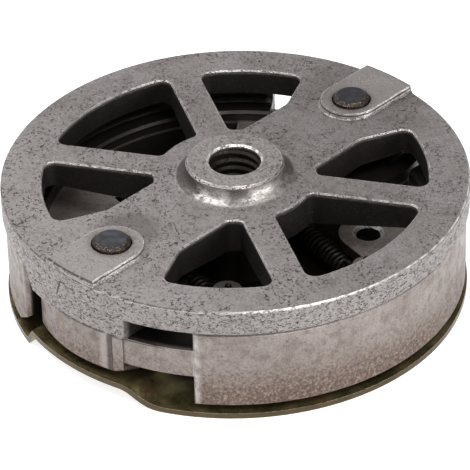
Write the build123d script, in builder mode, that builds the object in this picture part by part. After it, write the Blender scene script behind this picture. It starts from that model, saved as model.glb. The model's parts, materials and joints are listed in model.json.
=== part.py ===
from build123d import *
import os
from math import cos, sin, radians, hypot

# Two-shoe centrifugal clutch. Z is the shaft axis, the hub opens upwards,
# and the origin is on the axis at the underside of the base plate.
# Both shoe pivots lie on the X axis. Lengths are in millimetres.

os.makedirs("parts", exist_ok=True)

# Carrier disc and hub
disc_r = 38.0
disc_top = 20.6
rim_bottom = 16.15
web_bottom = 14.7
web_bottom_r = disc_r - 23.0
hub_r = 8.0
hub_top = 23.35
hub_root = 2.0
hub_edge = 0.35
boss_r = 8.0
boss_bottom = 3.8
boss_edge = 0.6
boss_root = 1.2
thread_minor_r = 4.25
lead_top = 0.3
lead_low = 0.8
edge = 0.3

# Windows and spokes
rim_width = 6.7
window_in = 13.2
window_out = disc_r - rim_width
window_edge = 0.2
thin_spoke = 5.3
wide_half = 8.2
wide_kink_x = window_out - 10.24
wide_far_x = window_out + 2.7
wide_far_half = wide_half + 6.0
corner_out = 1.8
corner_in = 1.2
kink_round = 3.0

# Pivots
pin_inset = 10.0
pin_x = disc_r - pin_inset
pin_r = 3.0
pin_edge = 0.5
pin_tail_r = 2.5
rivet_r = 4.2
rivet_h = 1.3
press_gap = 0.02
turn_gap = 0.05

# Raised pad over each pivot and lug below it
pad_half = 5.2
pad_shift = 0.3
pad_rise = 1.0
pad_slope = 14.0
pad_foot = 0.45
pin_proud = 0.8
pin_top = disc_top + pad_rise + pin_proud
lug_bottom = 12.7
lug_in = pin_x - 0.5
lug_lead = 11.9
lug_lead_low = 9.3
lug_tail = 10.79
lug_boss_r = 6.5

# Shoes, with their angles counted from the pivot
shoe_r = disc_r - 0.5
shoe_wall = 6.2
shoe_in = shoe_r - shoe_wall
skin_in = shoe_r - 2.5
shoe_bottom = 2.2
shoe_top_gap = 0.3
shoe_top = rim_bottom - shoe_top_gap
ledge_top = 12.3
wall_from = 33.3
wall_round = 0.6
free_end_gap = 0.4
free_end_round = 0.8
relief_run = 4.2
relief_rise = 3.0
knuckle_r = 11.8
knuckle_top = lug_bottom - 0.3
knuckle_bottom = 4.9
knuckle_round = 0.7
barrel_r = 23.2
barrel_y = 0.9
free_end_y = knuckle_r + free_end_gap
root_bottom = 6.2
root_from = 10.6
root_to = 15.5
arm_from = 12.0
arm_in = shoe_r - 7.0
arm_out = shoe_r - 0.3
groove_at = 11.6
groove_r = 0.8
groove_depth = 0.4

# Inner flange of each shoe: hole boss, spring toe and heel
flange_from = 95.0
flange_to = 154.0
flange_in = shoe_in - 4.8
flange_top = 10.2
flange_bottom = 8.4
hole_inset = 9.7
hole_angle = 127.7
hole_r = 2.0
hole_chamfer = 0.5
hole_boss_r = 4.85
boss_spread = 18.0
toe_inset = 7.85
toe_angle = 105.6
toe_half = 2.0
heel_inset = 13.3
heel_angle = 38.9
heel_half = 2.4
heel_tip = 0.5

# Springs, each from one shoe's toe to the other's heel, under the flanges
hook_hole_r = 1.1
coil_r = 1.9
wire_r = 0.45
hook_gap = 0.2
hook_drop = coil_r - wire_r - 0.05
coil_z = flange_bottom - hook_gap - wire_r - hook_drop
hook_length = 5.6
hook_bend = 1.0
hook_tip = flange_top + 0.7

# Base plate
plate_r = disc_r - 0.2
sheet = 1.0
seat_top = 3.5
centre_foot_r = plate_r - 6.8
centre_r = centre_foot_r - 2.5
plate_hole_r = 6.0
washer_width = 3.0
washer_r = pin_r + washer_width
washer_gap = 0.05
seat_reach = 8.0
skin_shift = 0.45
ramp_foot = 16.8
ramp_low = 13.93
ramp_low_rise = 0.53
ramp_high = 11.55
ramp_high_drop = 0.6
ramp_head = 9.0
steep_head = 10.9
steep_foot = 12.8
skirt = 2.0


def polar(r, deg):
    return (r * cos(radians(deg)), r * sin(radians(deg)))


hole_at = polar(shoe_in - hole_inset, hole_angle)
hook_toe = polar(shoe_in - toe_inset, toe_angle)
hook_heel = polar(shoe_in - heel_inset, heel_angle)


def side_plane(x, turn):
    # Upright plane across the X axis, looking outwards, turned about Z.
    c = cos(radians(turn))
    s = sin(radians(turn))
    return Plane(origin=(x * c, x * s, 0), x_dir=(-s, c, 0), z_dir=(c, s, 0))


def cut_plane(deg):
    # Upright plane through the axis: its x is the radius, its y is the height.
    c = cos(radians(deg))
    s = sin(radians(deg))
    return Plane(origin=(0, 0, 0), x_dir=(c, s, 0), z_dir=(s, -c, 0))


# Pads and lugs at both pivots, flush with the rim
with BuildPart() as ears:
    for turn in (0, 180):
        centre = polar(pin_x, turn)
        pad_place = Location((0, 0, 0), (0, 0, turn))
        pad_stages = ((pad_foot, 2 * pad_foot, 45), (0, pad_rise + pad_foot, pad_slope))
        for spread, height, slope in pad_stages:
            with BuildSketch(Plane.XY.offset(disc_top - pad_foot)):
                with Locations(pad_place * Location((pin_x, pad_shift, 0))):
                    Circle(pad_half + spread)
                with Locations(pad_place * Location((pin_x + pin_inset, pad_shift, 0))):
                    Rectangle(2 * pin_inset, 2 * (pad_half + spread))
            extrude(amount=height, taper=slope)
        with BuildSketch(Plane.XY.offset(lug_bottom)):
            with Locations(centre):
                Circle(lug_boss_r)
        extrude(amount=rim_bottom - lug_bottom + 1.0)
        with BuildSketch(side_plane(lug_in, turn)) as lug_sketch:
            with BuildLine():
                flank = ThreePointArc(
                    (-lug_lead, rim_bottom + 0.4),
                    (-lug_lead + 1.35, rim_bottom - 1.5),
                    (-lug_lead_low, lug_bottom),
                )
                Polyline(
                    flank @ 1,
                    (lug_tail, lug_bottom),
                    (lug_tail, rim_bottom + 0.4),
                    flank @ 0,
                )
            make_face()
            lug_corners = lug_sketch.vertices().filter_by_position(Axis.Z, lug_bottom - 0.1, lug_bottom + 0.1)
            fillet(lug_corners, 0.6)
        extrude(amount=14)
    with BuildSketch(Plane.XY.offset(lug_bottom - 1)):
        Circle(disc_r)
    extrude(amount=14, mode=Mode.INTERSECT)

with BuildPart() as carrier:
    # Disc, hub and lower boss as one turned shape
    with BuildSketch(Plane.XZ):
        with BuildLine():
            Polyline(
                (hub_r, disc_top + hub_root),
                (hub_r, hub_top - hub_edge),
                (hub_r - hub_edge, hub_top),
                (0, hub_top),
                (0, boss_bottom),
                (boss_r - boss_edge, boss_bottom),
                (boss_r, boss_bottom + boss_edge),
                (boss_r, web_bottom - boss_root),
                (boss_r + boss_root, web_bottom),
                (web_bottom_r, web_bottom),
                (window_out, rim_bottom),
                (disc_r - edge, rim_bottom),
                (disc_r, rim_bottom + edge),
                (disc_r, disc_top - edge),
                (disc_r - edge, disc_top),
                (hub_r + hub_root, disc_top),
            )
            RadiusArc((hub_r + hub_root, disc_top), (hub_r, disc_top + hub_root), hub_root)
        make_face()
    revolve(axis=Axis.Z)
    # Six windows: what is left of the ring between the spokes
    with BuildSketch(Plane.XY.offset(web_bottom - 3)) as windows:
        Circle(window_out)
        Circle(window_in, mode=Mode.SUBTRACT)
        for turn in (60, 120):
            Rectangle(2 * disc_r, thin_spoke, rotation=turn, mode=Mode.SUBTRACT)
        for turn in (1, -1):
            with BuildLine():
                Polyline(
                    (0, -wide_half),
                    (turn * wide_kink_x, -wide_half),
                    (turn * wide_far_x, -wide_far_half),
                    (turn * wide_far_x, wide_far_half),
                    (turn * wide_kink_x, wide_half),
                    (0, wide_half),
                    close=True,
                )
            make_face(mode=Mode.SUBTRACT)
        far = [v for v in windows.vertices() if hypot(v.X, v.Y) > window_out - 0.5]
        fillet(far, corner_out)
        near = [v for v in windows.vertices() if hypot(v.X, v.Y) < window_in + 0.1]
        fillet(near, corner_in)
        kinks = [v for v in windows.vertices() if abs(abs(v.X) - wide_kink_x) < 0.05]
        kinks = [v for v in kinks if abs(abs(v.Y) - wide_half) < 0.05]
        fillet(kinks, kink_round)
    extrude(amount=disc_top - web_bottom + 4, mode=Mode.SUBTRACT)
    window_edges = carrier.edges().filter_by_position(Axis.Z, disc_top - 0.01, disc_top + 0.01)
    window_edges = [e for e in window_edges if window_in - 1 < hypot(e.center().X, e.center().Y) < window_out + 1]
    chamfer(window_edges, window_edge)
    add(ears.part)
    # Tapped hole, drawn at the thread's crests, with a lead-in at each mouth
    with BuildSketch(Plane.XZ):
        with BuildLine():
            Polyline(
                (0, boss_bottom - 1),
                (thread_minor_r + lead_low, boss_bottom - 1),
                (thread_minor_r + lead_low, boss_bottom),
                (thread_minor_r, boss_bottom + lead_low),
                (thread_minor_r, hub_top - lead_top),
                (thread_minor_r + lead_top, hub_top),
                (thread_minor_r + lead_top, hub_top + 1),
                (0, hub_top + 1),
                close=True,
            )
        make_face()
    revolve(axis=Axis.Z, mode=Mode.SUBTRACT)
    # Pivot holes, with a small lead-in at the pad
    for turn in (0, 180):
        with BuildSketch(Plane.XY.offset(lug_bottom - 1)):
            with Locations(polar(pin_x, turn)):
                Circle(pin_r + press_gap)
        extrude(amount=12, mode=Mode.SUBTRACT)
        with BuildSketch(Plane.XY.offset(disc_top + pad_rise)):
            with Locations(polar(pin_x, turn)):
                Circle(pin_r + 0.3)
        extrude(amount=-0.5, taper=30, mode=Mode.SUBTRACT)
carrier.part.label = "carrier"
export_step(carrier.part, "parts/carrier.step")

# Knuckle round the pin, kept inside the friction radius, with its lower edge rounded
with BuildPart() as knuckle:
    with BuildSketch(Plane.XY.offset(knuckle_bottom)):
        with Locations((pin_x, 0)):
            Circle(knuckle_r)
        Circle(shoe_r, mode=Mode.INTERSECT)
        with Locations((shoe_r - barrel_r, barrel_y)):
            Circle(barrel_r, mode=Mode.INTERSECT)
    extrude(amount=knuckle_top - knuckle_bottom)
    fillet(knuckle.faces().sort_by(Axis.Z)[0].edges(), knuckle_round)

# Both shoes are drawn at the +X pivot. The front one is turned half round.
# Their arms stand at different heights.
shoes = (
    ("rear_shoe", 0, 9.3, 4.7),
    ("front_shoe", 180, knuckle_top, 7.5),
)
for name, turn, arm_top, arm_bottom in shoes:
    with BuildPart() as shoe:
        # Friction wall with its inner ledge
        with BuildSketch(cut_plane(wall_from)):
            with BuildLine():
                Polyline(
                    (shoe_in, shoe_bottom),
                    (shoe_r - edge, shoe_bottom),
                    (shoe_r, shoe_bottom + edge),
                    (shoe_r, shoe_top - edge),
                    (shoe_r - edge, shoe_top),
                    (skin_in, shoe_top),
                    (skin_in, ledge_top + 0.6),
                    (skin_in - 0.6, ledge_top),
                    (shoe_in + 0.4, ledge_top),
                    (shoe_in, ledge_top - 0.4),
                    close=True,
                )
            make_face()
        revolve(axis=Axis.Z, revolution_arc=168 - wall_from)
        # Rounded leading edge
        upright = shoe.edges().filter_by(Axis.Z).sort_by(lambda e: hypot(e.center().X, e.center().Y))
        leading = [e for e in upright[-2:] if e.center().X > 0]
        fillet(leading, wall_round)
        # Straight free end, relieved at the bottom over the plate's ramp
        with BuildSketch(Plane.XY):
            with Locations((-disc_r, free_end_y - 0.5 * disc_r)):
                Rectangle(2 * pin_x, disc_r)
        extrude(amount=disc_top, mode=Mode.SUBTRACT)
        end_edges = shoe.edges().filter_by(Axis.Z).filter_by_position(Axis.Y, free_end_y - 0.1, free_end_y + 0.1)
        fillet(end_edges.sort_by(Axis.X)[0], free_end_round)
        with BuildSketch(Plane.YZ.offset(-disc_r)):
            with BuildLine():
                Polyline(
                    (free_end_y - relief_run, shoe_bottom - relief_rise),
                    (free_end_y - relief_run, shoe_bottom + 2 * relief_rise),
                    (free_end_y + 2 * relief_run, shoe_bottom - relief_rise),
                    close=True,
                )
            make_face()
        extrude(amount=pin_x, mode=Mode.SUBTRACT)
        # Inner flange with the hole boss, the spring tab and the heel
        with BuildSketch(Plane.XY.offset(flange_bottom)) as flange:
            Circle(shoe_in + 1)
            Circle(flange_in, mode=Mode.SUBTRACT)
            with BuildLine():
                Polyline((0, 0), polar(2 * disc_r, flange_from), polar(2 * disc_r, flange_to), close=True)
            make_face(mode=Mode.INTERSECT)
            with BuildSketch(mode=Mode.ADD):
                with Locations(hole_at):
                    Circle(hole_boss_r)
                for base in (hole_angle - boss_spread, hole_angle + boss_spread):
                    with Locations(polar(shoe_in - 3.8, base)):
                        Circle(2.8)
                make_hull()
            with BuildSketch(mode=Mode.ADD):
                with Locations(hook_toe):
                    Circle(toe_half)
                with Locations(polar(shoe_in, toe_angle)):
                    Circle(toe_half)
                make_hull()
            with BuildSketch(mode=Mode.ADD):
                with Locations(polar(shoe_in - heel_inset - heel_tip, heel_angle)):
                    Circle(heel_half)
                with Locations(polar(shoe_in, heel_angle)):
                    Circle(heel_half)
                make_hull()
        extrude(amount=flange_top - flange_bottom)
        add(knuckle.part)
        # Root of the arm beside the knuckle, then the arm itself
        with BuildSketch(Plane.XY.offset(root_bottom)):
            Circle(shoe_r)
            Circle(arm_in, mode=Mode.SUBTRACT)
            with BuildLine():
                Polyline((0, 0), polar(2 * disc_r, root_from), polar(2 * disc_r, root_to), close=True)
            make_face(mode=Mode.INTERSECT)
        extrude(amount=knuckle_top - root_bottom)
        with BuildSketch(Plane.XY.offset(arm_bottom)):
            Circle(arm_out)
            Circle(arm_in, mode=Mode.SUBTRACT)
            with BuildLine():
                Polyline((0, 0), polar(2 * disc_r, arm_from), polar(2 * disc_r, wall_from + 2), close=True)
            make_face(mode=Mode.INTERSECT)
        extrude(amount=arm_top - arm_bottom)
        # Shallow upright groove beside the knuckle
        with BuildSketch(Plane.XY.offset(knuckle_bottom - 1)):
            with Locations(polar(shoe_r + groove_r - groove_depth, groove_at)):
                Circle(groove_r)
        extrude(amount=disc_top, mode=Mode.SUBTRACT)
        # Bores for the pin and the spring hooks, and the chamfered hole
        with BuildSketch(Plane.XY):
            with Locations((pin_x, 0)):
                Circle(pin_r + turn_gap)
            with Locations(hook_toe, hook_heel):
                Circle(hook_hole_r)
            with Locations(hole_at):
                Circle(hole_r)
        extrude(amount=disc_top, mode=Mode.SUBTRACT)
        with BuildSketch(Plane.XY.offset(flange_top)):
            with Locations(hole_at):
                Circle(hole_r + hole_chamfer)
        extrude(amount=-hole_chamfer, taper=45, mode=Mode.SUBTRACT)
    solid = shoe.part.rotate(Axis.Z, turn)
    solid.label = name
    export_step(solid, "parts/" + name + ".step")

# Pivot pins, riveted over under the plate
for name, turn in (("rear_pivot_pin", 0), ("front_pivot_pin", 180)):
    with BuildPart() as pin:
        centre = polar(pin_x, turn)
        with BuildSketch(Plane(origin=centre + (0,), x_dir=(1, 0, 0), z_dir=(0, -1, 0))):
            with BuildLine():
                Polyline(
                    (0, seat_top - sheet - rivet_h),
                    (rivet_r - 0.7, seat_top - sheet - rivet_h),
                    (rivet_r - 0.1, seat_top - sheet - 0.7),
                    (rivet_r, seat_top - sheet),
                    (pin_tail_r, seat_top - sheet),
                    (pin_tail_r, seat_top),
                    (pin_r, seat_top),
                    (pin_r, pin_top - pin_edge),
                    (pin_r - pin_edge, pin_top),
                    (0, pin_top),
                    close=True,
                )
            make_face()
        revolve(axis=Axis(centre + (0,), (0, 0, 1)))
    pin.part.label = name
    export_step(pin.part, "parts/" + name + ".step")

# Washers between the plate's seats and the knuckles
for name, turn in (("rear_washer", 0), ("front_washer", 180)):
    with BuildPart() as washer:
        with BuildSketch(Plane.XY.offset(seat_top)):
            with Locations(polar(pin_x, turn)):
                Circle(washer_r)
                Circle(pin_r + press_gap, mode=Mode.SUBTRACT)
        extrude(amount=knuckle_bottom - washer_gap - seat_top)
    washer.part.label = name
    export_step(washer.part, "parts/" + name + ".step")

# Tension springs: the close wound body is a plain tube here
for name, turn in (("rear_spring", 180), ("front_spring", 0)):
    toe = Vector(-hook_toe[0], -hook_toe[1], coil_z)
    heel = Vector(hook_heel[0], hook_heel[1], coil_z)
    along = (heel - toe).normalized()
    up = Vector(0, 0, hook_drop)
    with BuildPart() as spring:
        start = toe + along * hook_length
        length = (heel - toe).length - 2 * hook_length
        with BuildSketch(Plane(origin=start, z_dir=along)):
            Circle(coil_r)
            Circle(hook_drop - wire_r - 0.05, mode=Mode.SUBTRACT)
        extrude(amount=length)
        for end, way in ((toe, along), (heel, along * -1)):
            with BuildLine():
                hook = FilletPolyline(
                    end + Vector(0, 0, hook_tip - coil_z),
                    end + up,
                    end + up + way * (hook_length + 1.0),
                    radius=hook_bend,
                )
            with BuildSketch(Plane(origin=hook @ 0, z_dir=hook % 0)):
                Circle(wire_r)
            sweep(path=hook)
    solid = spring.part.rotate(Axis.Z, turn)
    solid.label = name
    export_step(solid, "parts/" + name + ".step")

# Base plate: one sheet, low under the shoes, raised in the middle and at the pivots.
# The upper skin is drawn first and the hollow under it is taken away.
skins = (
    (0.0, 0.0, Mode.ADD),
    (-sheet, skin_shift, Mode.SUBTRACT),
)
with BuildPart() as base_plate:
    for drop, shift, mode in skins:
        with BuildPart(mode=Mode.PRIVATE) as skin:
            with BuildSketch(Plane.XZ):
                with BuildLine():
                    Polyline(
                        (0, drop - skirt),
                        (plate_r, drop - skirt),
                        (plate_r, sheet + drop),
                        (centre_foot_r - shift, sheet + drop),
                        (centre_r - shift, seat_top + drop),
                        (0, seat_top + drop),
                        close=True,
                    )
                make_face()
            revolve(axis=Axis.Z)
            for turn in (0, 180):
                with BuildSketch(side_plane(pin_x - seat_reach, turn)):
                    with BuildLine():
                        rise = Spline(
                            (ramp_foot - shift, sheet + drop),
                            (ramp_low - shift, sheet + ramp_low_rise + drop),
                            (ramp_high - shift, seat_top - ramp_high_drop + drop),
                            (ramp_head - shift, seat_top + drop),
                            tangents=[(-1, 0), (-1, 0)],
                        )
                        Polyline(
                            rise @ 1,
                            (-steep_head + shift, seat_top + drop),
                            (-steep_foot + shift, sheet + drop),
                            (-steep_foot + shift, drop - skirt),
                            (ramp_foot - shift, drop - skirt),
                            rise @ 0,
                        )
                    make_face()
                extrude(amount=disc_r)
            with BuildSketch(Plane.XY.offset(drop - skirt)):
                Circle(plate_r)
            extrude(amount=disc_top, mode=Mode.INTERSECT)
        add(skin.part, mode=mode)
    with BuildSketch(Plane.XY.offset(-sheet)):
        Circle(plate_hole_r)
        with PolarLocations(pin_x, 2):
            Circle(pin_tail_r + press_gap)
    extrude(amount=disc_top, mode=Mode.SUBTRACT)
base_plate.part.label = "base_plate"
export_step(base_plate.part, "parts/base_plate.step")
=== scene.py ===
import json
import math

import bpy
from mathutils import Matrix, Vector


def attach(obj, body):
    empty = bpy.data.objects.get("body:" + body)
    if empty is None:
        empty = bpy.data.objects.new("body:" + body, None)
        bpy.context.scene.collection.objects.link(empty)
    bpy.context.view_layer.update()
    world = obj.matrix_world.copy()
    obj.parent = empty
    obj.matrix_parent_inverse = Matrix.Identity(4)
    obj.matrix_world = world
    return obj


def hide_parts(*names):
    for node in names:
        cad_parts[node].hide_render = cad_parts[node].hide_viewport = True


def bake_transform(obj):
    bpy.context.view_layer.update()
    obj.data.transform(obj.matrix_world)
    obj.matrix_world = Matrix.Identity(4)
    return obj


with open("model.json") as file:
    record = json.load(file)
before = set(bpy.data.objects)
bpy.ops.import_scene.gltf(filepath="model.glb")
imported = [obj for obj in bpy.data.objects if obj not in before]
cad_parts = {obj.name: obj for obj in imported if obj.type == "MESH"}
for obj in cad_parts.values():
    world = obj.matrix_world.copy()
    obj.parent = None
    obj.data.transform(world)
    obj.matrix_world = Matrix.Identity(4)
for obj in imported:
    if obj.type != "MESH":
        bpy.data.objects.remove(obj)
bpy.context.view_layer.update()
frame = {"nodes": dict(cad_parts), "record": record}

nodes = frame["nodes"]
MM = 0.001

# The clutch lies on z = 0. Both pivots are on the X axis, the front one at -X.
# Sizes of the solids that the patterns follow, in millimetres:
disc_r = 38.0
disc_top = 20.6
pivot_x = 28.0
pin_r = 3.0
pad_top = 21.6
lug_low = 12.7
lug_x = -36.0
hub_top = 23.35
cove_r = 10.0
hole_r = 4.25
shoe_r = 37.5
wall_from = 33.3
groove_at = 11.6
knuckle_top = 12.4
ledge_top = 12.3
web_top = 10.2
web_hole = (13.21, -17.09)
web_hole_rim_r = 2.5
plate_r = 37.8

# The photograph looks along this direction from above, as an angle round Z.
view_heading = math.radians(44.5)
view_elevation = math.radians(33.94)
view_distance = 545.5 * MM
view_pitch = math.radians(1.038)
view_yaw = math.radians(-0.034)
view_roll = math.radians(-1.4275)
photo_width = 470
focal_pixels = 3372.8

# Colours that are used more than once: a painted highlight, a painted reflection, and one for wear
# on the shoes that also serves as a painted highlight
painted_highlight_grey = (0.66, 0.64, 0.62)
painted_reflection_grey = (0.60, 0.58, 0.56)
shoe_wear_and_highlight = (0.50, 0.47, 0.45)


class Finish:
    """A material built up by short calls. Lengths in its patterns are millimetres, and
    each colour is painted over the ones before it."""

    def __init__(self, name):
        self.mat = bpy.data.materials.new(name)
        self.mat.use_nodes = True
        self.tree = self.mat.node_tree
        self.tree.nodes.clear()
        out = self.tree.nodes.new("ShaderNodeOutputMaterial")
        self.bsdf = self.tree.nodes.new("ShaderNodeBsdfPrincipled")
        self.tree.links.new(self.bsdf.outputs[0], out.inputs[0])
        place = self.tree.nodes.new("ShaderNodeTexCoord")
        scale = self.tree.nodes.new("ShaderNodeVectorMath")
        scale.operation = "SCALE"
        scale.inputs["Scale"].default_value = 1 / MM
        self.tree.links.new(place.outputs["Object"], scale.inputs[0])
        self.where = scale.outputs[0]
        self.color = None

    def put(self, socket, value):
        if isinstance(value, bpy.types.NodeSocket):
            self.tree.links.new(value, socket)
        elif isinstance(value, tuple) and len(value) == 3 and socket.type == "RGBA":
            socket.default_value = (*value, 1.0)
        else:
            socket.default_value = value

    def math(self, operation, a, b=0.0):
        n = self.tree.nodes.new("ShaderNodeMath")
        n.operation = operation
        self.put(n.inputs[0], a)
        self.put(n.inputs[1], b)
        return n.outputs[0]

    def chain(self, operation, values):
        result, *others = values
        for value in others:
            result = self.math(operation, result, value)
        return result

    def times(self, *values):
        return self.chain("MULTIPLY", values)

    def plus(self, *values):
        return self.chain("ADD", values)

    def most(self, *values):
        return self.chain("MAXIMUM", values)

    def less(self, a, b):
        return self.math("SUBTRACT", a, b)

    def size_of(self, value):
        return self.math("ABSOLUTE", value)

    def step(self, value, low, high, to_low=0.0, to_high=1.0):
        """A soft step. With low above high it falls instead."""
        n = self.tree.nodes.new("ShaderNodeMapRange")
        n.interpolation_type = "SMOOTHSTEP"
        self.put(n.inputs["Value"], value)
        n.inputs["From Min"].default_value = low
        n.inputs["From Max"].default_value = high
        n.inputs["To Min"].default_value = to_low
        n.inputs["To Max"].default_value = to_high
        return n.outputs[0]

    def band(self, value, rise, fall):
        """1 between two soft ends."""
        return self.times(self.step(value, *rise), self.step(value, *fall))

    def squeeze(self, factors):
        n = self.tree.nodes.new("ShaderNodeVectorMath")
        n.operation = "MULTIPLY"
        self.tree.links.new(self.where, n.inputs[0])
        n.inputs[1].default_value = factors
        return n.outputs[0]

    def noise(self, size, detail=3.0, rough=0.55, where=None, shift=0.0):
        n = self.tree.nodes.new("ShaderNodeTexNoise")
        n.noise_dimensions = "4D"
        n.inputs["W"].default_value = shift
        n.inputs["Scale"].default_value = 1.0 / size
        n.inputs["Detail"].default_value = detail
        n.inputs["Roughness"].default_value = rough
        self.put(n.inputs["Vector"], where or self.where)
        return n.outputs["Fac"]

    def cells(self, size, where=None):
        n = self.tree.nodes.new("ShaderNodeTexVoronoi")
        n.inputs["Scale"].default_value = 1.0 / size
        n.inputs["Randomness"].default_value = 1.0
        self.put(n.inputs["Vector"], where or self.where)
        return n.outputs["Distance"], n.outputs["Color"]

    def warp(self, size, reach, where=None):
        """The pattern's coordinates pushed about by a noise."""
        n = self.tree.nodes.new("ShaderNodeTexNoise")
        n.inputs["Scale"].default_value = 1.0 / size
        n.inputs["Detail"].default_value = 2.0
        self.put(n.inputs["Vector"], where or self.where)
        push = self.tree.nodes.new("ShaderNodeVectorMath")
        push.operation = "MULTIPLY_ADD"
        self.tree.links.new(n.outputs["Color"], push.inputs[0])
        push.inputs[1].default_value = (reach, reach, reach)
        self.put(push.inputs[2], where or self.where)
        return push.outputs[0]

    def lines(self, size, where):
        """Distance to the borders of a field of cells."""
        n = self.tree.nodes.new("ShaderNodeTexVoronoi")
        n.feature = "DISTANCE_TO_EDGE"
        n.inputs["Scale"].default_value = 1.0 / size
        self.put(n.inputs["Vector"], where)
        return n.outputs["Distance"]

    def channel(self, color, index):
        n = self.tree.nodes.new("ShaderNodeSeparateColor")
        self.tree.links.new(color, n.inputs[0])
        return n.outputs[index]

    def axes(self):
        n = self.tree.nodes.new("ShaderNodeSeparateXYZ")
        self.tree.links.new(self.where, n.inputs[0])
        return n.outputs

    def radius(self, x0=0.0, y0=0.0):
        """Distance from an upright line."""
        x, y, _ = self.axes()
        dx = self.less(x, x0)
        dy = self.less(y, y0)
        return self.math("SQRT", self.plus(self.times(dx, dx), self.times(dy, dy)))

    def along(self, degrees):
        """Distance out from the Z axis in a level direction."""
        x, y, _ = self.axes()
        turn = math.radians(degrees)
        return self.plus(self.times(x, math.cos(turn)), self.times(y, math.sin(turn)))

    def edges(self, width):
        """1 on sharp edges, 0 on flats."""
        round_normal = self.tree.nodes.new("ShaderNodeBevel")
        round_normal.samples = 6
        round_normal.inputs["Radius"].default_value = width * MM
        flat_normal = self.tree.nodes.new("ShaderNodeNewGeometry")
        dot = self.tree.nodes.new("ShaderNodeVectorMath")
        dot.operation = "DOT_PRODUCT"
        self.tree.links.new(round_normal.outputs[0], dot.inputs[0])
        self.tree.links.new(flat_normal.outputs["Normal"], dot.inputs[1])
        return self.step(dot.outputs["Value"], 0.995, 0.86)

    def mix(self, factor, a, b):
        n = self.tree.nodes.new("ShaderNodeMix")
        n.data_type = "RGBA"
        self.put(n.inputs[0], factor)
        self.put(n.inputs[6], a)
        self.put(n.inputs[7], b)
        return n.outputs[2]

    def ground(self, pattern, dark, light, high=0.65):
        """The first colour, which goes from dark to light with a pattern."""
        self.color = self.mix(self.step(pattern, 0.35, high), dark, light)

    def paint(self, tint, *masks):
        """One more colour, as far as the product of the masks lets it cover."""
        self.color = self.mix(self.times(*masks), self.color, tint)

    def bump(self, height, depth, strength):
        n = self.tree.nodes.new("ShaderNodeBump")
        n.inputs["Strength"].default_value = strength
        n.inputs["Distance"].default_value = depth * MM
        self.put(n.inputs["Height"], height)
        return n.outputs[0]

    def surface(self, rough, metallic, normal=None):
        self.put(self.bsdf.inputs["Base Color"], self.color)
        self.put(self.bsdf.inputs["Roughness"], rough)
        self.put(self.bsdf.inputs["Metallic"], metallic)
        if normal:
            self.put(self.bsdf.inputs["Normal"], normal)
        return self.mat


def pits(f, size, share, reach, where=None):
    """Dark pores: a share of the cells holds one, each of its own width."""
    distance, color = f.cells(size, where)
    chosen = f.step(f.channel(color, 0), 1.0 - share, 1.0 - share + 0.02)
    width = f.times(f.channel(color, 1), reach)
    return f.times(chosen, f.step(f.less(distance, width), 0.06, -0.10))


def scratches(f, size, breaks, share, width, where=None, shift=0.0):
    """Short dark squiggles: borders of small cells, kept only here and there."""
    border = f.step(f.lines(size, f.warp(size * 0.8, size * 0.9, where)), width, width * 0.3)
    kept = f.step(f.noise(breaks, 1.0, 0.5, where, shift), 1.0 - share, 1.0 - share + 0.04)
    return f.times(border, kept)


def sinter_pores(f, rim, hidden, cove, pad):
    """Squiggles and dots, thick on the rim and in patches elsewhere, few where it is smooth."""
    flat = f.squeeze((1.0, 1.0, 1.9))
    squiggles = scratches(f, 0.85, 0.80, 0.46, 0.10, flat, 21.0)
    fine = scratches(f, 0.50, 0.50, 0.42, 0.11, flat, 27.0)
    coarse = scratches(f, 0.90, 0.80, 0.44, 0.09, flat, 51.0)
    dots = pits(f, 0.70, 0.40, 0.30, flat)
    large = pits(f, 1.7, 0.12, 0.20, flat)
    patches = f.step(f.noise(6.0, 2.0, shift=11.0), 0.36, 0.54, 0.40, 1.0)
    crowd = f.most(patches, f.times(rim, 0.85))
    pores = f.most(squiggles, f.times(fine, 0.9), f.times(dots, 0.75), f.times(coarse, rim))
    pores = f.most(f.times(pores, crowd), f.times(large, 0.8))
    for smooth, left in ((hidden, 0.15), (cove, 0.50), (pad, 0.45)):
        pores = f.times(pores, f.step(smooth, 0.0, 1.0, 1.0, left))
    return pores


def paint_rim_line(f):
    """A thin line along the top of the rim: a painted highlight on the front side, and dark
    elsewhere.
    """
    _, y, z = f.axes()
    height = f.band(z, (disc_top - 0.22, disc_top - 0.16), (disc_top + 0.03, disc_top + 0.01))
    ragged = f.step(f.noise(1.6, 3.0, 0.6, shift=61.0), 0.38, 0.58, 0.10, 0.90)
    line = f.times(height, f.step(f.radius(), disc_r - 0.34, disc_r - 0.28), ragged)
    bright = f.step(y, -20.0, -32.0)
    f.paint((0.64, 0.62, 0.60), line, bright)
    f.paint((0.040, 0.034, 0.030), line, f.less(1.0, bright), 0.8)


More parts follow.
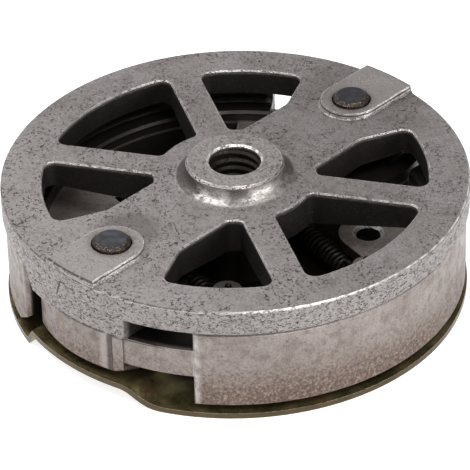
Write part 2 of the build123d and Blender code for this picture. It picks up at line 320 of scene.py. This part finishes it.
def paint_hub(f, cove, grain):
    """The cove at the hub's foot with painted reflections, the hub's face, and a painted highlight
    on the mouth of the hole.
    """
    z = f.axes()[2]
    r = f.radius()
    streaks = f.less(f.noise(1.1, 3.0, 0.6, f.squeeze((1.0, 1.0, 1.6)), 41.0), 0.5)

    def toward(degrees, push):
        """1 in a level direction and less away from it, with streaks round the axis."""
        return f.plus(f.math("DIVIDE", f.along(degrees), r), f.times(streaks, push))

    # Painted reflections on the cove: light towards one side, painted shade away from it
    lean = toward(244.5, 2.2)
    f.paint((0.50, 0.47, 0.44), cove, f.step(lean, 0.72, 1.08, 0.0, 0.20))
    f.paint((0.040, 0.034, 0.031), cove, f.step(lean, 0.80, 0.25, 0.0, 0.85))
    # Two painted highlight lobes with painted shade as a dark core between them
    lobes = f.most(*(f.step(toward(degrees, 0.16), 0.945, 0.985) for degrees in (203.0, 252.0)))
    strands = f.noise(0.5, 3.0, 0.7, f.squeeze((1.0, 1.0, 3.0)), 45.0)
    f.paint((0.52, 0.49, 0.46), cove, lobes, f.step(strands, 0.40, 0.60, 0.10, 0.55))
    core = f.step(toward(227.0, 0.16), 0.968, 0.996)
    f.paint((0.060, 0.050, 0.046), cove, core, f.step(z, disc_top + 0.12, disc_top + 0.35), 0.70)
    # The face is a little lighter, and the mouth has a painted highlight in places
    face = f.step(z, hub_top - 0.15, hub_top - 0.05)
    f.paint((0.400, 0.382, 0.372), face, f.step(grain, 0.60, 0.42, 0.0, 0.30))
    mouth = f.times(f.step(r, hole_r + 0.37, hole_r + 0.29),
                    f.step(z, hub_top - 0.35, hub_top - 0.25))
    f.paint(painted_highlight_grey, mouth, f.step(f.noise(0.8, 2.0, shift=43.0), 0.44, 0.54, 0.05, 0.85))


def paint_pads(f, pad, cloud, grain, top):
    """The two raised pads with the front lug below, with painted highlights and painted shade, and
    the dirt round the pins.
    """
    x, y, z = f.axes()
    r = f.radius()
    # Broken lines of painted shade: the outer edge of each pad's top, and the lower edge of the
    # front lug
    ragged = f.step(f.noise(0.9, 3.0, 0.6, shift=71.0), 0.36, 0.50)
    lip = f.times(f.step(z, pad_top - 0.26, pad_top - 0.18),
                  f.step(r, disc_r - 0.38, disc_r - 0.30))
    under = f.times(f.step(z, lug_low + 0.40, lug_low + 0.16),
                    f.step(r, disc_r - 0.8, disc_r - 0.5),
                    f.step(x, lug_x, lug_x - 0.3), f.step(y, 3.5, 1.5))
    f.paint((0.034, 0.028, 0.025), f.most(lip, under), ragged, 0.85)
    # Painted highlights on the flanks, above and below a line of painted shade
    flank = f.times(f.band(z, (disc_top + 0.02, disc_top + 0.12), (pad_top - 0.02, pad_top - 0.06)),
                    f.band(r, (11.0, 12.0), (disc_r - 0.2, disc_r - 0.5)))
    streaky = f.step(cloud, 0.36, 0.56, 0.75, 0.25)
    f.paint(painted_highlight_grey, flank, f.step(z, pad_top - 0.30, pad_top - 0.24), streaky)
    lower = f.band(z, (disc_top + 0.16, disc_top + 0.22), (disc_top + 0.48, disc_top + 0.40))
    f.paint(painted_reflection_grey, flank, lower, streaky, 0.75)
    flank_shade = f.band(z, (disc_top + 0.46, disc_top + 0.54), (disc_top + 0.72, disc_top + 0.66))
    f.paint((0.050, 0.040, 0.036), flank, flank_shade, 0.80)
    # A soft painted shadow on the disc between the front pad and the hub
    patch = f.times(f.step(f.radius(-22.6, 1.6), 6.6, 3.2),
                    f.step(z, disc_top + 0.14, disc_top + 0.02))
    f.paint((0.098, 0.082, 0.080), patch, top, 0.62)
    # The rear pad's top is a little lighter
    f.paint((0.400, 0.378, 0.360), pad, f.step(x, 20.0, 36.0, 0.0, 0.30))
    # Rust and dirt in the crevice round the two pins
    for side in (1, -1):
        near = f.radius(side * pivot_x)
        ring = f.step(f.plus(near, f.times(cloud, 0.9)), pin_r + 1.05, pin_r + 0.55)
        f.paint((0.026, 0.017, 0.012), ring, 0.92)
        halo = f.step(f.plus(near, f.times(grain, 1.2)), pin_r + 1.9, pin_r + 0.9)
        f.paint((0.080, 0.048, 0.030), halo, 0.30)


def paint_crease(f):
    """Painted shade of a forging crease on the front lug: a leaning stroke and a short level one at
    its top.
    """
    x, y, z = f.axes()
    lean = f.plus(y, -8.06, f.times(z, 0.35))
    stroke = f.times(f.step(f.size_of(lean), 0.20, 0.11), f.band(z, (15.8, 16.1), (18.9, 18.7)))
    tick = f.times(f.step(f.size_of(f.less(z, 18.75)), 0.18, 0.09),
                   f.band(y, (0.3, 0.6), (1.6, 1.4)))
    f.paint((0.020, 0.017, 0.016), f.most(stroke, tick), f.step(x, lug_x, lug_x - 0.2), 0.9)


def sintered_steel():
    f = Finish("sintered_steel")
    x, _, z = f.axes()
    r = f.radius()
    cloud = f.noise(2.0, 4.0, 0.65, shift=3.0)
    grain = f.noise(0.34, 3.0, 0.7, shift=7.0)
    f.ground(f.noise(9.0, 2.0), (0.205, 0.184, 0.178), (0.245, 0.226, 0.222))
    f.paint((0.118, 0.101, 0.097), f.step(cloud, 0.46, 0.68, 0.0, 0.60))
    f.paint((0.300, 0.282, 0.276), f.step(cloud, 0.44, 0.28, 0.0, 0.45))
    f.paint((0.082, 0.070, 0.067), f.step(grain, 0.48, 0.70, 0.0, 0.65))
    f.paint((0.420, 0.400, 0.390), f.step(grain, 0.45, 0.30, 0.0, 0.65))
    # Painted light and shade: lighter towards the front pivot, darker near the rear one
    top = f.step(z, disc_top - 0.4, disc_top - 0.1)
    f.paint((0.400, 0.378, 0.368), f.step(x, 10.0, -disc_r, 0.0, 0.30), top)
    far_rim = f.times(f.step(r, 26.0, 31.0), f.step(f.radius(pivot_x), 9.0, 17.0))
    f.paint((0.090, 0.078, 0.074), f.step(x, -5.0, disc_r, 0.0, 0.34), f.less(1.0, far_rim))
    f.paint((0.380, 0.358, 0.350), far_rim, f.step(x, -5.0, 20.0), top, 0.12)
    # The rim is painted a little lighter than the pressed top: painted light on its side
    rim = f.step(r, disc_r - 0.25, disc_r - 0.10)
    f.paint((0.370, 0.343, 0.330), rim, 0.35)
    hidden = f.times(f.step(z, disc_top - 0.3, disc_top - 0.9),
                     f.step(r, disc_r - 0.4, disc_r - 1.5))
    cove = f.times(f.band(z, (disc_top, disc_top + 0.10), (hub_top - 0.40, hub_top - 0.65)),
                   f.step(r, cove_r + 0.1, cove_r - 0.5))
    pad = f.times(f.step(z, pad_top - 0.20, pad_top - 0.05), f.step(r, 12.0, 14.0))
    pores = sinter_pores(f, rim, hidden, cove, pad)
    f.paint((0.022, 0.018, 0.017), pores, 0.90)
    # Bright worn edges, broken up by the grain
    wear = f.step(f.noise(1.1, 3.0, 0.6, shift=15.0), 0.42, 0.56, 0.10, 1.0)
    f.paint((0.78, 0.76, 0.74), f.edges(0.24), wear,
            f.step(z, disc_top - 2.4, disc_top - 1.0, 0.10, 1.0),
            f.step(r, disc_r - 0.6, disc_r - 1.2, 0.20, 1.0))
    paint_rim_line(f)
    paint_hub(f, cove, grain)
    paint_pads(f, pad, cloud, grain, top)
    paint_crease(f)
    # Painted shade: the inside and the underside are painted dull and dark, and so is the bore
    f.paint((0.013, 0.010, 0.009), hidden, 0.90)
    bore = f.times(f.step(r, hole_r + 0.50, hole_r + 0.25), f.step(z, hub_top - 0.6, hub_top - 1.0))
    f.paint((0.018, 0.014, 0.010), bore, 0.92)
    rough = f.step(f.plus(grain, f.times(pores, 0.5)), 0.3, 1.0, 0.36, 0.70)
    return f.surface(rough, 0.75, f.bump(f.less(f.times(grain, 0.45), pores), 0.12, 0.9))


def shoe_steel():
    f = Finish("shoe_steel")
    x, y, z = f.axes()
    r = f.radius()
    mottle = f.noise(1.8, 4.0, 0.65, shift=5.0)
    streak = f.noise(1.0, 3.0, 0.6, f.squeeze((1.0, 1.0, 0.10)), 9.0)
    grain = f.noise(0.30, 2.0, 0.7)
    f.ground(f.noise(9.0, 2.0, shift=2.0), (0.240, 0.206, 0.191), (0.290, 0.258, 0.243))
    f.paint((0.140, 0.107, 0.092), f.step(mottle, 0.44, 0.66, 0.0, 0.65))
    f.paint((0.340, 0.315, 0.300), f.step(mottle, 0.44, 0.30, 0.0, 0.35))
    f.paint((0.350, 0.325, 0.312), f.step(streak, 0.52, 0.72, 0.0, 0.40))
    f.paint((0.098, 0.076, 0.066), f.step(grain, 0.48, 0.70, 0.0, 0.60))
    # Ochre stains here and there, brown dirt towards the lower edge
    stain = f.noise(3.2, 3.0, 0.55, shift=31.0)
    f.paint((0.240, 0.165, 0.085), f.step(stain, 0.60, 0.72, 0.0, 0.40))
    low = f.plus(z, f.times(f.less(mottle, 0.5), 7.0), f.times(f.less(grain, 0.5), 5.0))
    f.paint((0.110, 0.070, 0.052), f.step(low, 11.0, 3.5, 0.0, 0.80))
    speck = f.noise(0.42, 3.0, 0.7, shift=57.0)
    amount = f.step(low, 14.0, 4.0, 0.08, 0.70)
    f.paint((0.060, 0.040, 0.030), amount, f.step(speck, 0.50, 0.62))
    f.paint((0.300, 0.240, 0.205), amount, f.step(speck, 0.48, 0.38))
    pores = f.most(f.times(pits(f, 1.1, 0.18, 0.26), 0.6),
                   f.times(scratches(f, 0.7, 0.9, 0.34, 0.10, shift=33.0), 0.5))
    f.paint((0.050, 0.038, 0.032), pores)
    # Painted shade: the inside is painted dark, except for the web's top
    web = f.band(z, (web_top - 0.3, web_top - 0.1), (web_top + 0.4, web_top + 0.2))
    inner = f.step(r, shoe_r - 0.5, shoe_r - 1.5)
    f.paint((0.024, 0.019, 0.017), inner, f.step(web, 0.0, 1.0, 0.93, 0.15))
    # Painted shadow on the top edge of the front knuckle, under the lug
    brow = f.times(f.step(z, knuckle_top - 0.45, knuckle_top - 0.20), f.step(x, -33.0, -34.0))
    f.paint((0.040, 0.032, 0.028), brow, f.step(y, 4.0, 2.0), 0.75)
    # Painted shade: the ledge inside the wall is darker still
    ledge = f.band(z, (ledge_top - 0.9, ledge_top - 0.7), (ledge_top + 1.3, ledge_top + 0.9))
    f.paint((0.008, 0.006, 0.006), ledge, f.step(r, shoe_r - 1.1, shoe_r - 1.5), 0.60)
    f.paint(shoe_wear_and_highlight, f.edges(0.20), f.step(mottle, 0.40, 0.58, 0.0, 0.6),
            f.step(r, shoe_r - 1.3, shoe_r - 0.5, 0.12, 1.0))
    for side in (0.0, 180.0):
        # Painted highlight on the leading edge of the wall
        past, out = f.along(side + wall_from + 90.0), f.along(side + wall_from)
        strip = f.times(f.band(past, (-0.2, 0.1), (1.5, 0.3)), f.step(out, 33.0, 36.0))
        f.paint((0.52, 0.49, 0.47), strip, f.step(mottle, 0.60, 0.40, 0.25, 0.70))
        # Painted shade in the groove beside the knuckle, and a painted highlight on the ridge next
        # to it
        past, out = f.along(side + groove_at + 90.0), f.along(side + groove_at)
        outside = f.step(out, 35.0, 36.0)
        f.paint((0.040, 0.031, 0.027), f.step(f.size_of(past), 0.75, 0.25), outside, 0.65)
        f.paint(shoe_wear_and_highlight, f.band(past, (-2.2, -1.2), (-0.3, -0.7)), outside, 0.30)
    # Painted highlight on the chamfer round the hole of each web
    for side in (1, -1):
        near = f.radius(side * web_hole[0], side * web_hole[1])
        ring = f.times(f.step(near, web_hole_rim_r + 0.12, web_hole_rim_r + 0.04),
                       f.step(z, web_top - 0.54, web_top - 0.48))
        f.paint(painted_reflection_grey, ring, f.step(grain, 0.60, 0.40, 0.35, 0.9))
    rough = f.step(mottle, 0.3, 0.8, 0.36, 0.58)
    return f.surface(rough, 0.72, f.bump(f.less(f.times(grain, 0.4), pores), 0.07, 0.7))


def pin_steel():
    f = Finish("pin_steel")
    cloud = f.noise(1.4, 4.0, 0.6)
    grain = f.noise(0.22, 2.0, 0.7, shift=4.0)
    f.ground(cloud, (0.028, 0.029, 0.034), (0.066, 0.066, 0.074), high=0.68)
    f.paint((0.025, 0.023, 0.024), f.step(grain, 0.52, 0.75, 0.0, 0.5))
    f.paint((0.20, 0.20, 0.21), f.edges(0.25), 0.35)
    # Painted shade: the rear pin is darker
    f.paint((0.012, 0.012, 0.015), f.step(f.axes()[0], -10.0, 10.0, 0.0, 0.5))
    # Rust round the edge of each pin's face
    for side in (1, -1):
        own = f.step(f.radius(side * pivot_x), pin_r + 1.0, pin_r + 0.5)
        off_centre = f.radius(side * pivot_x + 0.30, 0.28)
        rust = f.times(f.step(off_centre, pin_r - 0.65, pin_r - 0.40), own)
        f.paint((0.016, 0.012, 0.010), rust, 0.9)
        f.paint((0.130, 0.098, 0.076), rust, f.step(grain, 0.54, 0.62))
    return f.surface(f.step(cloud, 0.3, 0.7, 0.42, 0.62), 0.75, f.bump(grain, 0.10, 0.7))


def yellow_zinc():
    f = Finish("yellow_zinc")
    r = f.radius()
    cloud = f.noise(3.4, 4.0, 0.65)
    film = f.noise(2.4, 3.0, 0.5, shift=6.0)
    grain = f.noise(0.3, 2.0, 0.7, shift=8.0)
    f.ground(cloud, (0.125, 0.101, 0.044), (0.270, 0.218, 0.102))
    f.paint((0.260, 0.130, 0.080), f.step(film, 0.52, 0.66, 0.0, 0.40))
    f.paint((0.120, 0.140, 0.070), f.step(film, 0.48, 0.34, 0.0, 0.45))
    f.paint((0.062, 0.047, 0.030), f.step(r, plate_r - 0.25, plate_r - 0.05), 0.85)
    streak = f.noise(0.8, 3.0, 0.6, f.squeeze((1.0, 1.0, 0.3)), 14.0)
    f.paint((0.56, 0.44, 0.32), f.edges(0.16), f.step(streak, 0.36, 0.58, 0.15, 0.85))
    # Painted shade under the shoes
    f.paint((0.010, 0.009, 0.007), f.step(r, 33.0, 30.0), 0.92)
    f.paint((0.09, 0.075, 0.045), f.step(grain, 0.55, 0.8, 0.0, 0.4))
    waves = f.plus(f.times(film, 3.0), grain)
    return f.surface(f.step(cloud, 0.3, 0.7, 0.24, 0.40), 0.85, f.bump(waves, 0.06, 0.6))


def spring_steel():
    f = Finish("spring_steel")
    cloud = f.noise(1.2, 3.0, 0.6)
    # The wire is painted very dark: painted shade, for where it lies inside the shoes
    f.ground(cloud, (0.008, 0.007, 0.007), (0.024, 0.021, 0.017))
    return f.surface(f.step(cloud, 0.3, 0.7, 0.38, 0.60), 0.8)


def washer_steel():
    f = Finish("washer_steel")
    cloud = f.noise(1.0, 3.0, 0.6)
    f.ground(cloud, (0.16, 0.15, 0.14), (0.26, 0.25, 0.24))
    return f.surface(f.step(cloud, 0.3, 0.7, 0.35, 0.5), 0.85)


makers = (sintered_steel, shoe_steel, pin_steel, yellow_zinc, spring_steel, washer_steel)
finishes = {maker.__name__: maker() for maker in makers}
for part in frame["record"]["subparts"]:
    mesh = nodes[part["node"]].data
    mesh.materials.clear()
    mesh.materials.append(finishes[part["material_slot"]])


def new_piece(name, points, faces, body, slot_name, smooth=True):
    mesh = bpy.data.meshes.new(name)
    mesh.from_pydata([tuple(p) for p in points], [], faces)
    mesh.update()
    if smooth:
        mesh.polygons.foreach_set("use_smooth", [True] * len(mesh.polygons))
    mesh.materials.append(finishes[slot_name])
    piece = bpy.data.objects.new(name, mesh)
    bpy.context.scene.collection.objects.link(piece)
    if body:
        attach(piece, body)
    return piece


def tube(path, radius):
    """Points and faces of a closed round wire along a path."""
    sides = 8
    points, faces = [], []
    side = None
    for i, p in enumerate(path):
        ahead = path[min(i + 1, len(path) - 1)]
        behind = path[max(i - 1, 0)]
        along = (ahead - behind).normalized()
        if side is None:
            side = along.orthogonal().normalized()
        side = (side - along * side.dot(along)).normalized()
        other = along.cross(side)
        for k in range(sides):
            turn = 2 * math.pi * k / sides
            points.append(p + radius * (math.cos(turn) * side + math.sin(turn) * other))
    for i in range(len(path) - 1):
        for k in range(sides):
            a = i * sides + k
            b = i * sides + (k + 1) % sides
            faces.append((a, b, b + sides, a + sides))
    faces.append(tuple(reversed(range(sides))))
    faces.append(tuple(range(len(points) - sides, len(points))))
    return points, faces


def hub_thread():
    """Ridges of the M10 thread on the wall of the hub's hole."""
    pitch = 1.5 * MM
    wall = 4.28 * MM
    crest = 3.95 * MM
    foot_half, crest_half = 0.55 * MM, 0.08 * MM
    low, high = 5.2 * MM, 22.3 * MM
    per_turn = 64
    run_out = 20
    count = int((high - low) / pitch * per_turn)
    points, faces = [], []
    for i in range(count + 1):
        turn = 2 * math.pi * i / per_turn
        z = low + pitch * i / per_turn
        tip = wall + (crest - wall) * min(1.0, i / run_out, (count - i) / run_out)
        for r, dz in ((wall, -foot_half), (tip, -crest_half), (tip, crest_half), (wall, foot_half)):
            points.append((r * math.cos(turn), r * math.sin(turn), z + dz))
    for i in range(count):
        for k in range(4):
            a, b = 4 * i + k, 4 * i + (k + 1) % 4
            faces.append((a, a + 4, b + 4, b))
    faces.append((0, 1, 2, 3))
    faces.append((4 * count + 3, 4 * count + 2, 4 * count + 1, 4 * count))
    return new_piece("hub_thread", points, faces, "carrier_body", "sintered_steel", smooth=False)


# Springs: toe on one shoe's flange, heel on the other shoe, by the sizes of the solids
toe = Vector((6.306, -22.586, 0)) * MM
heel = Vector((14.008, 11.303, 0)) * MM
up = Vector((0, 0, 1))
coil_middle_z = 6.35 * MM
coil_mean_r = 1.42 * MM
coil_pitch = 2.25
coil_sides = 16
wire_r = 0.45 * MM
hook_length = 5.6 * MM
hook_tip_z = 10.8 * MM
hook_bend = 1.0 * MM


def hook(end, along):
    """Wire from the tip above the flange, down through its hole and along to the coil."""
    level = end + up * coil_mean_r
    tip = Vector((end.x, end.y, hook_tip_z))
    path = []
    for k in range(5):
        a = math.pi / 2 * k / 5
        path.append(tip + (up * math.cos(a) - along * (1 - math.sin(a))) * hook_bend * 0.8)
    path.append(tip)
    for k in range(6):
        a = math.pi / 2 * k / 5
        bend = along * (1 - math.cos(a)) + up * (1 - math.sin(a))
        path.append(level + bend * hook_bend)
    for k in range(1, 5):
        path.append(level + along * (hook_bend + (hook_length - hook_bend) * k / 5))
    return path


def spring(name, turned, replaced):
    """One wire in two halves, between the shoes."""
    flip = Matrix.Rotation(math.pi if turned else 0.0, 3, "Z")
    start = flip @ toe + Vector((0, 0, coil_middle_z))
    end = flip @ heel + Vector((0, 0, coil_middle_z))
    along = (end - start).normalized()
    sideways = up.cross(along)
    coil_start = start + along * hook_length
    coil_length = (end - start).length - 2 * hook_length
    steps = round(coil_length / (coil_pitch * wire_r)) * coil_sides
    path = hook(start, along)
    for k in range(steps + 1):
        a = 2 * math.pi * k / coil_sides
        centre = coil_start + along * coil_length * k / steps
        path.append(centre + coil_mean_r * (math.cos(a) * up + math.sin(a) * sideways))
    path += reversed(hook(end, -along))
    half = len(path) // 2
    near_points, near_faces = tube(path[:half + 1], wire_r)
    near = new_piece(name + "_near", near_points, near_faces, None, "spring_steel")
    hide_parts(replaced)
    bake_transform(near)
    far_points, far_faces = tube(path[half:], wire_r)
    rest = new_piece(name + "_far", far_points, far_faces, None, "spring_steel")
    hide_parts(replaced)
    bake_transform(rest)


hub_thread()
spring("front_spring_wire", False, "front_spring")
spring("rear_spring_wire", True, "rear_spring")


def heading_point(side, back, height):
    """A point by the photograph's own directions: to the right, away and up, in metres."""
    away = Vector((math.cos(view_heading), math.sin(view_heading), 0))
    right = Vector((math.sin(view_heading), -math.cos(view_heading), 0))
    return right * side + away * back + Vector((0, 0, height))


def lamp(name, place, aim, size, watts):
    data = bpy.data.lights.new(name, "AREA")
    data.shape = "RECTANGLE"
    data.size, data.size_y = size
    data.energy = watts
    light = bpy.data.objects.new(name, data)
    bpy.context.scene.collection.objects.link(light)
    light.location = place
    light.rotation_euler = (aim - place).to_track_quat("-Z", "Y").to_euler()


def stage_floor():
    """A pale floor that also glows, for the camera and for reflections only."""
    reach = 3.0
    grey = 0.40
    glow = 0.80
    gap = 0.05 * MM
    mesh = bpy.data.meshes.new("floor")
    corners = [(-reach, -reach, 0), (reach, -reach, 0), (reach, reach, 0), (-reach, reach, 0)]
    mesh.from_pydata(corners, [], [(0, 1, 2, 3)])
    floor = bpy.data.objects.new("floor", mesh)
    floor.location.z = -gap
    bpy.context.scene.collection.objects.link(floor)
    mat = bpy.data.materials.new("floor_paper")
    mat.use_nodes = True
    tree = mat.node_tree
    bsdf = tree.nodes["Principled BSDF"]
    bsdf.inputs["Base Color"].default_value = (grey, grey, grey, 1)
    bsdf.inputs["Roughness"].default_value = 0.9
    bsdf.inputs["Specular IOR Level"].default_value = 0.0
    path = tree.nodes.new("ShaderNodeLightPath")
    seen = tree.nodes.new("ShaderNodeMath")
    seen.operation = "MAXIMUM"
    tree.links.new(path.outputs["Is Camera Ray"], seen.inputs[0])
    tree.links.new(path.outputs["Is Glossy Ray"], seen.inputs[1])
    scale = tree.nodes.new("ShaderNodeMath")
    scale.operation = "MULTIPLY"
    tree.links.new(seen.outputs[0], scale.inputs[0])
    scale.inputs[1].default_value = glow
    bsdf.inputs["Emission Color"].default_value = (1, 1, 1, 1)
    tree.links.new(scale.outputs[0], bsdf.inputs["Emission Strength"])
    mesh.materials.append(mat)


def stage_world():
    """White for the camera, and for the object a sky that is brighter on the left."""
    middle_level = 0.55
    swing = 0.42
    world = bpy.data.worlds.new("studio")
    bpy.context.scene.world = world
    world.use_nodes = True
    tree = world.node_tree
    back = tree.nodes["Background"]
    path = tree.nodes.new("ShaderNodeLightPath")
    mix = tree.nodes.new("ShaderNodeMix")
    mix.data_type = "FLOAT"
    tree.links.new(path.outputs["Is Camera Ray"], mix.inputs[0])
    place = tree.nodes.new("ShaderNodeTexCoord")
    lean = tree.nodes.new("ShaderNodeVectorMath")
    lean.operation = "DOT_PRODUCT"
    tree.links.new(place.outputs["Generated"], lean.inputs[0])
    lean.inputs[1].default_value = heading_point(-0.85, -0.15, 0.45)
    level = tree.nodes.new("ShaderNodeMath")
    level.operation = "MULTIPLY_ADD"
    tree.links.new(lean.outputs["Value"], level.inputs[0])
    level.inputs[1].default_value = swing
    level.inputs[2].default_value = middle_level
    tree.links.new(level.outputs[0], mix.inputs[2])
    mix.inputs[3].default_value = 1.0
    back.inputs["Color"].default_value = (1, 1, 1, 1)
    tree.links.new(mix.outputs[0], back.inputs["Strength"])


def stage_camera():
    data = bpy.data.cameras.new("camera")
    data.sensor_fit = "HORIZONTAL"
    data.sensor_width = 36.0
    data.lens = data.sensor_width * focal_pixels / photo_width
    data.clip_start = 0.01
    data.clip_end = 20.0
    camera = bpy.data.objects.new("camera", data)
    bpy.context.scene.collection.objects.link(camera)
    flat = math.cos(view_elevation) * view_distance
    centre = Vector((0, 0, disc_top * MM))
    place = centre + heading_point(0, -flat, math.sin(view_elevation) * view_distance)
    down = view_elevation + view_pitch
    ahead = heading_point(math.sin(view_yaw) * math.cos(down),
                          math.cos(view_yaw) * math.cos(down), -math.sin(down))
    right = heading_point(math.cos(view_yaw), -math.sin(view_yaw), 0)
    above = right.cross(ahead)
    c, s = math.cos(view_roll), math.sin(view_roll)
    right, above = c * right + s * above, c * above - s * right
    camera.matrix_world = Matrix((
        (right.x, above.x, -ahead.x, place.x),
        (right.y, above.y, -ahead.y, place.y),
        (right.z, above.z, -ahead.z, place.z),
        (0, 0, 0, 1),
    ))
    bpy.context.scene.camera = camera


middle = Vector((0, 0, 0.5 * disc_top * MM))
front_rim = heading_point(-0.02, -0.01, 0.02)
lamp("key_front", heading_point(0.30, -0.45, 0.85), middle, (0.55, 0.40), 6.9)
lamp("fill_right", heading_point(0.80, -0.50, 0.14), middle, (0.55, 0.50), 10.0)
lamp("fill_left", heading_point(-0.17, 0.02, 0.30), front_rim, (0.22, 0.22), 0.95)
lamp("top_back", heading_point(-0.45, 0.62, 0.66), middle, (0.60, 0.35), 0.8)
stage_floor()
stage_world()
stage_camera()

bpy.context.scene.view_settings.view_transform = "Standard"
